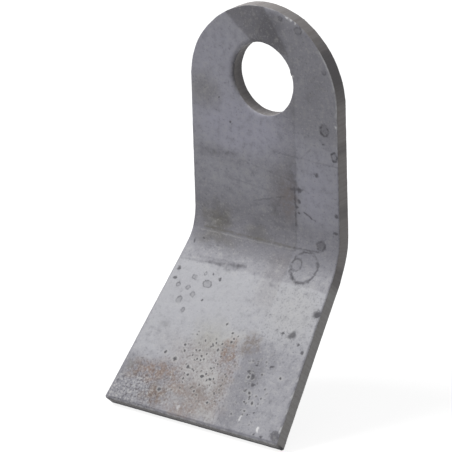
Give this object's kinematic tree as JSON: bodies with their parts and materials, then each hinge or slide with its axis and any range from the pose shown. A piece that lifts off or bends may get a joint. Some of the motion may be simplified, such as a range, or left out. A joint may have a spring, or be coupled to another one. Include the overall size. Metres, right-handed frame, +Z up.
{
  "type": "flail mower hammer",
  "caption": "Bent flat steel hammer for a flail mower: a round-crowned tongue with a pivot bore, bent forward into a wider leg with a square cutting end.",
  "frame": {"origin": "centre of the pivot bore, in the middle of the plate's thickness", "axes": "+Y along the bore's axis, out of the back of the tongue; +Z up to the crown; +X across the plate; the leg hangs down and is bent forward to -Y"},
  "size_m": [0.0716, 0.0486, 0.1335],
  "materials": {
    "steel": "dull grey hot-rolled steel with faint mottling, ring-shaped stains, small pits and a little rust"
  },
  "bodies": {
    "root": {"hammer_plate": "steel"}
  },
  "joints": []
}
